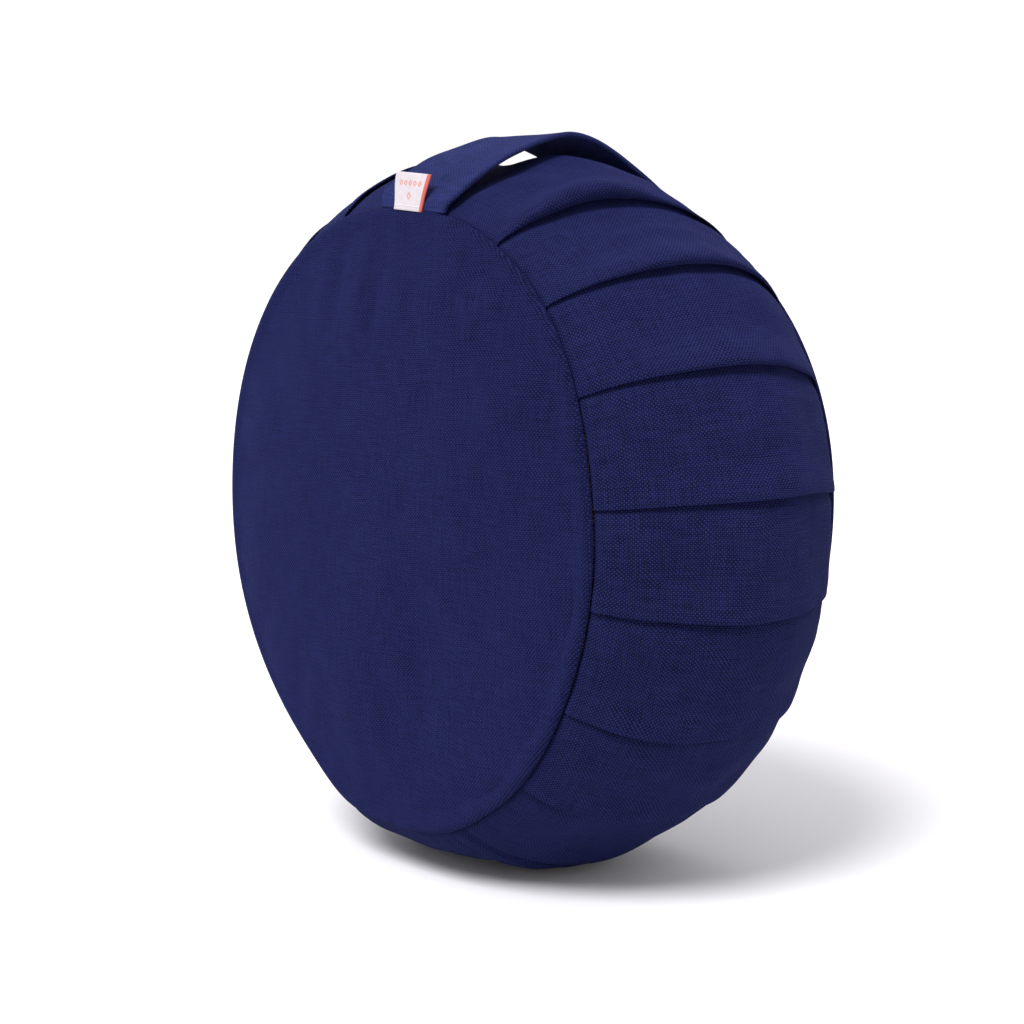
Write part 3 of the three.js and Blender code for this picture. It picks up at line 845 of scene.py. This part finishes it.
def filling(name):
    """The hulls as one mass: a crown, the band's form and another crown."""
    high = box_mm("hull_filling")[1][1] - CASE_SLACK
    angles = np.arange(DISC_POINTS) * 360 / DISC_POINTS
    shares = np.sin(np.linspace(0.05, 0.97, 18) * math.pi / 2)
    front = [dome_row(angles, -1, share, high, FILLING_EDGE, FILLING_SEAM) for share in shares]
    back = [dome_row(angles, 1, share, high, FILLING_EDGE, FILLING_SEAM) for share in shares[::-1]]
    sides = [band_point(angles, a, FILLING_HEIGHT) for a in np.linspace(-0.9, 0.9, 15)]
    rows = front + sides + back
    faces = flipped(tube_faces(len(rows), len(angles)))
    return make_mesh(name, np.concatenate(rows), faces)


# ---- zip ----

def zip_point(offset, along, height):
    """A point beside the zip: an offset up from its line, an angle along the arc, and a height."""
    angle = (ZIP_ANGLE - np.asarray(offset) / BELLY / RAD) * RAD
    out = ARC_CENTRE + (ARC_RADIUS + height) * np.cos(along)
    y = (ARC_RADIUS + height) * np.sin(along)
    return np.stack(np.broadcast_arrays(out * np.cos(angle), y, AXIS + out * np.sin(angle)), -1)


def zip_run(node):
    """How far a CAD piece of the zip reaches along the arc, as an angle from its middle."""
    return math.asin(min(0.999, box_mm(node)[1][1] / (ARC_RADIUS - 3)))


TAPE_TOP = -2.6
TAPE_THICK = 0.8
TAPE_NEAR, TAPE_FAR = 2.7, 12.0  # a tape's two edges, from the zip's line
TAPE_CLOSE = 2.35  # how far it closes up past the teeth
COIL_HEIGHT = TAPE_TOP - TAPE_THICK / 2


def zip_tape(name, sign):
    coil_reach = zip_run("zip_coil_upper")
    count, wide = 120, 13
    turns = np.linspace(-REACH * 0.985, REACH * 0.985, count)
    ripple = waves(51, 6, 18, 50)
    rings, uvs = [], []
    for turn in turns:
        y = turn * ARC_RADIUS
        # Past the teeth's ends the two tapes close up.
        closed = smooth_step((abs(turn) - coil_reach - 0.002) / 0.02)
        offsets = np.linspace(TAPE_NEAR - TAPE_CLOSE * closed, TAPE_FAR, wide)
        wave = 0.10 * ripple(y, offsets)
        cord = 0.25 * bell(offsets - offsets[0] - 0.6, 0.6)
        top = zip_point(sign * offsets, turn, TAPE_TOP + wave + cord - 0.1)
        low = zip_point(sign * offsets[::-1], turn, TAPE_TOP - TAPE_THICK + wave[::-1] * 0.5)
        rings.append(np.concatenate([top, low]))
        uvs.append([(y, o) for o in offsets] + [(y, 26 - o) for o in offsets[::-1]])
    points = np.array(rings).reshape(-1, 3)
    faces = tube_faces(count, 2 * wide)
    if sign < 0:
        faces = flipped(faces)
    return make_mesh(name, points, faces, np.array(uvs).reshape(-1, 2))


def zip_coil(name, sign):
    """One side's teeth: a wire wound round and round, its turns meeting the other side's."""
    reach = zip_run("zip_coil_upper") - 0.006
    pitch = 1.5
    turns = int(2 * reach * ARC_RADIUS / pitch)
    per_turn = 12
    total = turns * per_turn
    phase = np.arange(total) * 2 * math.pi / per_turn
    along = np.linspace(-reach, reach, total) + (0.25 if sign < 0 else -0.25) * pitch / ARC_RADIUS
    offset = sign * (1.28 + 0.92 * np.cos(phase))
    height = COIL_HEIGHT + 0.62 * np.sin(phase)
    path = zip_point(offset, along, height)
    return make_mesh(name, *tube(path, np.full(total, 0.33)))


def zip_stitches(name, sign):
    reach = zip_run("zip_tape_upper")
    offset = sign * (SLOT / 2 + 1.9)
    step = 3.0 / ARC_RADIUS
    parts = []
    for start in np.arange(-reach, reach - step, step):
        a, b = (zip_point(offset, t, 0.45) for t in (start, start + step * 0.78))
        out = np.array([-math.cos(start), math.sin(start), 0])
        parts.append(stitch(a, b, out, 0.3))
    return make_mesh(name, *gathered(parts))


# ---- materials ----

class Shading:
    """A material's nodes, with short names for the ones used most."""

    def __init__(self, name, **settings):
        self.material = bpy.data.materials.new(name)
        self.material.use_nodes = True
        self.tree = self.material.node_tree
        self.shader = self.tree.nodes["Principled BSDF"]
        for key, value in settings.items():
            self.put(key, value)

    def node(self, kind, **values):
        made = self.tree.nodes.new(kind)
        for key, value in values.items():
            setattr(made, key, value)
        return made

    def feed(self, socket, value):
        if isinstance(value, bpy.types.NodeSocket):
            self.tree.links.new(value, socket)
        else:
            socket.default_value = value

    def put(self, name, value):
        """Sets one of the shader's inputs."""
        self.feed(self.shader.inputs[name], value)

    def math(self, operation, *values):
        made = self.node("ShaderNodeMath", operation=operation)
        for socket, value in zip(made.inputs, values):
            self.feed(socket, value)
        return made.outputs[0]

    def plus(self, a, b):
        return self.math("ADD", a, b)

    def minus(self, a, b):
        return self.math("SUBTRACT", a, b)

    def times(self, a, b):
        return self.math("MULTIPLY", a, b)

    def uv(self):
        made = self.node("ShaderNodeUVMap", uv_map="UVMap")
        parts = self.node("ShaderNodeSeparateXYZ")
        self.feed(parts.inputs[0], made.outputs[0])
        return parts.outputs[0], parts.outputs[1]

    def place(self):
        made = self.node("ShaderNodeTexCoord")
        return made.outputs["Object"]

    def joined(self, x, y, z=0.0):
        made = self.node("ShaderNodeCombineXYZ")
        for socket, value in zip(made.inputs, (x, y, z)):
            self.feed(socket, value)
        return made.outputs[0]

    def noise(self, vector, scale, detail=2.0, roughness=0.5):
        made = self.node("ShaderNodeTexNoise")
        self.feed(made.inputs["Vector"], vector)
        made.inputs["Scale"].default_value = scale
        made.inputs["Detail"].default_value = detail
        made.inputs["Roughness"].default_value = roughness
        return made.outputs["Fac"]

    def ramp(self, value, stops):
        made = self.node("ShaderNodeValToRGB")
        ramp = made.color_ramp
        while len(ramp.elements) < len(stops):
            ramp.elements.new(0.5)
        for element, (at, colour) in zip(ramp.elements, stops):
            element.position = at
            element.color = (*colour, 1)
        self.feed(made.inputs[0], value)
        return made.outputs[0]

    def mix(self, share, a, b):
        made = self.node("ShaderNodeMix", data_type="RGBA")
        self.feed(made.inputs["Factor"], share)
        for socket, value in ((made.inputs["A"], a), (made.inputs["B"], b)):
            self.feed(socket, value if isinstance(value, bpy.types.NodeSocket) else (*value, 1))
        return made.outputs["Result"]

    def bump(self, height, strength, distance):
        made = self.node("ShaderNodeBump")
        self.feed(made.inputs["Height"], height)
        made.inputs["Strength"].default_value = strength
        made.inputs["Distance"].default_value = distance
        self.put("Normal", made.outputs[0])


def canvas(name, dark, light, contrast, pitch=0.88, bump=0.9):
    """Plain-woven cloth: threads over and under, uneven in thickness, with a soft bloom."""
    s = Shading(name)
    u, v = s.uv()
    place = s.joined(u, v)
    drift = s.times(s.minus(s.noise(place, 0.06, 1.0), 0.5), 3.0)
    thread_u = s.math("DIVIDE", s.plus(u, drift), pitch)
    thread_v = s.math("DIVIDE", s.plus(v, drift), pitch)
    over = s.math("COSINE", s.times(thread_u, math.pi))
    under = s.math("COSINE", s.times(thread_v, math.pi))
    cross = s.times(over, under)
    crown = s.math("POWER", s.math("ABSOLUTE", cross), 0.55)
    slub_u = s.noise(s.joined(s.times(thread_u, 0.06), thread_v), 1.0, 2.0, 0.6)
    slub_v = s.noise(s.joined(thread_u, s.times(thread_v, 0.06), 7.0), 1.0, 2.0, 0.6)
    slubs = s.plus(s.minus(slub_u, 0.5), s.minus(slub_v, 0.5))
    broad = s.minus(s.noise(place, 0.03, 3.0, 0.55), 0.5)
    tone = s.plus(0.42, s.times(cross, contrast * 0.5))
    tone = s.plus(tone, s.times(s.minus(crown, 0.6), contrast * 0.7))
    tone = s.plus(tone, s.times(slubs, 0.6))
    tone = s.plus(tone, s.times(broad, 0.22))
    s.put("Base Color", s.ramp(tone, [(0.0, dark), (1.0, light)]))
    rough = s.plus(0.85, s.times(slub_u, 0.1))
    s.put("Roughness", rough)
    s.put("Sheen Weight", 0.09)
    s.put("Sheen Roughness", 0.45)
    s.put("Sheen Tint", (0.14, 0.19, 0.95, 1))
    s.put("Specular IOR Level", 0.03)
    fuzz = s.noise(place, 3.0, 2.0)
    height = s.plus(crown, s.times(cross, 0.25))
    height = s.plus(height, s.times(slubs, 0.5))
    height = s.plus(height, s.times(fuzz, 0.15))
    s.bump(height, bump, 0.00035)
    return s.material


def label_cloth():
    """Satin-woven label: a plain row of diamonds, a coloured selvage along one side."""
    s = Shading("label_cloth")
    u, v = s.uv()
    threads = s.math("SINE", s.times(u, 2 * math.pi * 70))
    picks = s.math("SINE", s.times(v, 2 * math.pi * 48))
    weave = s.times(threads, picks)
    stops = [(0.2, (0.36, 0.325, 0.35)), (0.8, (0.43, 0.39, 0.42))]
    base = s.ramp(s.noise(s.joined(u, v), 5.0, 3.0), stops)
    # A row of five diamonds, and a smaller one below.
    cell = s.math("ABSOLUTE", s.minus(s.math("FRACT", s.times(u, 7.0)), 0.5))
    tall = s.math("ABSOLUTE", s.minus(s.times(v, 4.7), 3.35))
    away = s.math("ABSOLUTE", s.minus(s.plus(cell, tall), 0.29))
    row = s.math("LESS_THAN", away, 0.13)
    inside = s.times(s.math("GREATER_THAN", u, 1 / 7), s.math("LESS_THAN", u, 6 / 7))
    row = s.times(row, inside)
    low = s.plus(s.math("ABSOLUTE", s.times(s.minus(u, 0.5), 7.0)),
                 s.math("ABSOLUTE", s.times(s.minus(v, 0.38), 4.7)))
    low = s.math("LESS_THAN", s.math("ABSOLUTE", s.minus(low, 0.40)), 0.14)
    front = s.math("LESS_THAN", v, 1.0)
    marks = s.times(s.math("MAXIMUM", row, low), front)
    marks = s.times(marks, s.plus(0.72, s.times(threads, 0.2)))
    colour = s.mix(marks, base, (0.42, 0.08, 0.03))
    selvage = s.math("GREATER_THAN", s.plus(u, s.times(picks, 0.004)), 0.925)
    colour = s.mix(selvage, colour, (0.36, 0.045, 0.025))
    s.put("Base Color", colour)
    s.put("Roughness", 0.55)
    s.put("Sheen Weight", 0.15)
    s.bump(s.plus(weave, s.times(selvage, 1.5)), 0.5, 0.00008)
    return s.material


def thread(name, dark, light):
    """Twisted sewing thread."""
    s = Shading(name, Roughness=0.7)
    place = s.place()
    twist = s.node("ShaderNodeTexWave", wave_type="BANDS", bands_direction="DIAGONAL")
    s.feed(twist.inputs["Vector"], place)
    twist.inputs["Scale"].default_value = 900
    twist.inputs["Distortion"].default_value = 1.5
    s.put("Base Color", s.ramp(twist.outputs["Fac"], [(0.1, dark), (0.9, light)]))
    s.put("Sheen Weight", 0.1)
    s.put("Sheen Tint", (*light, 1))
    s.put("Specular IOR Level", 0.1)
    s.bump(twist.outputs["Fac"], 0.7, 0.0001)
    return s.material


def coil_plastic():
    s = Shading("coil_plastic", Roughness=0.4)
    shade = s.noise(s.place(), 900, 2.0)
    colour = s.ramp(shade, [(0.3, (0.008, 0.010, 0.045)), (0.7, (0.016, 0.020, 0.08))])
    s.put("Base Color", colour)
    s.bump(shade, 0.2, 0.00005)
    return s.material


def zip_metal():
    """Plated metal with fine scratches and a cloudy tone."""
    s = Shading("zip_metal", Metallic=1.0)
    place = s.place()
    scratch = s.node("ShaderNodeMapping")
    s.feed(scratch.inputs["Vector"], place)
    scratch.inputs["Scale"].default_value = (400, 2500, 400)
    lines = s.noise(scratch.outputs[0], 1.0, 4.0, 0.7)
    cloud = s.noise(place, 160, 3.0)
    colour = s.ramp(cloud, [(0.3, (0.34, 0.34, 0.36)), (0.7, (0.50, 0.50, 0.52))])
    s.put("Base Color", colour)
    s.put("Roughness", s.plus(0.22, s.times(lines, 0.25)))
    s.bump(lines, 0.15, 0.00004)
    return s.material


def hulls_material():
    """Loose hulls: small overlapping flakes."""
    s = Shading("hulls", Roughness=0.8)
    cells = s.node("ShaderNodeTexVoronoi")
    s.feed(cells.inputs["Vector"], s.place())
    cells.inputs["Scale"].default_value = 260
    tone = s.math("FRACT", s.times(cells.outputs["Distance"], 2.3))
    stops = [(0.0, (0.06, 0.03, 0.015)), (0.6, (0.25, 0.15, 0.07)), (1.0, (0.42, 0.28, 0.15))]
    s.put("Base Color", s.ramp(tone, stops))
    s.bump(cells.outputs["Distance"], 0.8, 0.001)
    return s.material


def woven_solid(name, dark, light, size):
    """Plain-woven cloth for a piece without a cloth map, laid over it in its own space."""
    s = Shading(name, Roughness=0.92)
    place = s.node("ShaderNodeSeparateXYZ")
    s.feed(place.inputs[0], s.place())
    ribs = [s.math("SINE", s.times(place.outputs[k], 2 * math.pi / size)) for k in range(3)]
    weave = s.plus(s.times(ribs[0], ribs[2]), s.times(ribs[1], 0.4))
    cloud = s.noise(s.place(), 60, 3.0)
    tone = s.plus(s.times(weave, 0.2), cloud)
    s.put("Base Color", s.ramp(tone, [(0.2, dark), (0.9, light)]))
    s.put("Sheen Weight", 0.2)
    s.bump(weave, 0.6, 0.0002)
    return s.material


cover_cloth = canvas(
    "cover_canvas", (0.0012, 0.0014, 0.0080), (0.0120, 0.0148, 0.066), contrast=0.8
)
# Painted light: the band is the same cloth as the panels, given lighter colours so that its side
# looks as bright as the panels do.
band_cloth = canvas(
    "band_canvas_lightened", (0.0014, 0.0016, 0.0085), (0.0170, 0.0205, 0.088), contrast=0.85, bump=1.0
)
# Painted light: the strap is the cover's own cloth, given lighter colours for the light its top
# catches from above.
strap_lit_canvas = canvas(
    "strap_canvas_lit", (0.0022, 0.0027, 0.013), (0.028, 0.036, 0.134),
    pitch=0.8, contrast=0.6, bump=0.8,
)
navy_thread = thread("navy_thread", (0.008, 0.010, 0.045), (0.022, 0.026, 0.10))
pale_thread = thread("pale_thread", (0.55, 0.50, 0.54), (0.80, 0.76, 0.80))
tape_cloth = canvas(
    "tape_cloth", (0.006, 0.007, 0.032), (0.02, 0.024, 0.10), pitch=0.5, contrast=0.5, bump=0.6
)
liner_cloth = woven_solid("liner_muslin", (0.55, 0.50, 0.40), (0.86, 0.82, 0.72), 0.0009)
metal = zip_metal()


# ---- the pieces ----

def paint(thing, material):
    thing.data.materials.clear()
    thing.data.materials.append(material)


def dress(thing, material, slot, body=None, *nodes):
    """Gives a piece its material and its body, and hides the nodes it replaces. Its slot is not
    used.
    """
    paint(thing, material)
    if body:
        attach(thing, body)
    if nodes:
        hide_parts(*nodes)
    return thing


band = dress(side_band(), band_cloth, "cover_cloth", "cushion", "pleated_side_band")
front = panel("front_panel_cloth", -1, front_swell, 21)
dress(front, cover_cloth, "cover_cloth", "cushion", "front_panel")
back = panel("back_panel_cloth", 1, back_swell, 24)
dress(back, cover_cloth, "cover_cloth", "cushion", "back_panel")

strap = dress(carry_strap(), strap_lit_canvas, "strap_cloth", None, "carry_strap")
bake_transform(strap)

tab = dress(label_tab(), label_cloth(), "label_cloth", None, "side_label")
root, _, rise, _ = label_frame()
seam_row = dress(label_stitches(), pale_thread, "pale_thread", None, "label_stitching")
for piece in (tab, seam_row):
    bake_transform(piece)

for end, sign in (("front", -1), ("back", 1)):
    name = f"{end}_seam_thread"
    dress(seam_thread(f"{end}_seam_twist", sign), navy_thread, "navy_thread", "cushion", name)
    case = inner_disc(f"inner_case_{end}", sign)
    dress(case, liner_cloth, "liner_cloth", "cushion", f"liner_{end}_panel")

case = inner_band("inner_case_side")
dress(case, liner_cloth, "liner_cloth", "cushion", "liner_side_band")
mass = dress(filling("loose_hulls"), hulls_material(), "hulls", "cushion", "hull_filling")

for side, sign in (("upper", 1), ("lower", -1)):
    tape = zip_tape(f"zip_tape_cloth_{side}", sign)
    dress(tape, tape_cloth, "zip_tape", "cushion", f"zip_tape_{side}")
    coil = zip_coil(f"zip_coil_teeth_{side}", sign)
    dress(coil, coil_plastic(), "zip_coil", "cushion", f"zip_coil_{side}")
    row = zip_stitches(f"zip_topstitch_{side}", sign)
    dress(row, navy_thread, "navy_thread", "cushion", f"zip_stitching_{side}")

carried = {
    "zip_top_stop_upper": metal, "zip_top_stop_lower": metal, "zip_bottom_stop": metal,
    "zip_slider": metal, "zip_pull_tab": metal, "liner_closing_thread": pale_thread,
}
for name, material in carried.items():
    node = frame["nodes"][name]
    paint(node, material)
    if material is metal:
        rounding = node.modifiers.new("rounding", "BEVEL")
        rounding.width = 0.00025
        rounding.segments = 3
        rounding.limit_method = "ANGLE"


# ---- floor, light and camera ----

def face_away(thing, direction):
    """Turns a lamp or camera so that it looks the other way."""
    thing.rotation_mode = "QUATERNION"
    thing.rotation_quaternion = direction.to_track_quat("Z", "Y")


def sun(name, azimuth, elevation, spread, strength):
    """A soft light from far off, from an azimuth round the object (0 is in front) and a height."""
    lamp = bpy.data.lights.new(name, "SUN")
    lamp.angle, lamp.energy = spread * RAD, strength
    thing = placed(name, lamp)
    a, e = azimuth * RAD, elevation * RAD
    face_away(thing, Vector((math.sin(a) * math.cos(e), -math.cos(a) * math.cos(e), math.sin(e))))
    return thing


AZIMUTH, ELEVATION, DISTANCE = 52.0 * RAD, 5.82 * RAD, 1.0
AIM_SIDE, AIM_LOW = 0.00082, 0.0026  # how far left of the cushion's middle, and under it
centre = Vector((0, 0, AXIS * MM))
right = Vector((math.cos(AZIMUTH), math.sin(AZIMUTH), 0))
level = math.cos(ELEVATION)
backward = Vector((math.sin(AZIMUTH) * level, -math.cos(AZIMUTH) * level, math.sin(ELEVATION)))
upward = backward.cross(right)

floor_mesh = bpy.data.meshes.new("floor")
floor_mesh.from_pydata([(-30, -30, 0), (30, -30, 0), (30, 30, 0), (-30, 30, 0)], [], [[0, 1, 2, 3]])
floor = placed("floor", floor_mesh)
paper = Shading("pale_floor", Roughness=0.9)
shade = paper.noise(paper.place(), 3.0, 2.0)
pale = paper.ramp(shade, [(0.0, (0.66, 0.65, 0.68)), (1.0, (0.69, 0.68, 0.71))])
paper.put("Base Color", pale)
floor_mesh.materials.append(paper.material)

sun("key", 22, 48, 24, 4.4)
sun("overhead", 20, 80, 50, 0.3)
world = bpy.data.worlds.new("studio")
world.use_nodes = True
world.node_tree.nodes["Background"].inputs["Color"].default_value = (1, 1, 1, 1)
world.node_tree.nodes["Background"].inputs["Strength"].default_value = 1.04
bpy.context.scene.world = world
bpy.context.scene.view_settings.view_transform = "Standard"

camera_data = bpy.data.cameras.new("camera")
camera_data.sensor_width = 36
camera_data.lens = 76.45
camera_data.clip_start, camera_data.clip_end = 0.01, 100
camera = placed("camera", camera_data)
camera.location = centre + backward * DISTANCE
aim = centre - right * AIM_SIDE - upward * AIM_LOW
face_away(camera, camera.location - aim)
bpy.context.scene.camera = camera
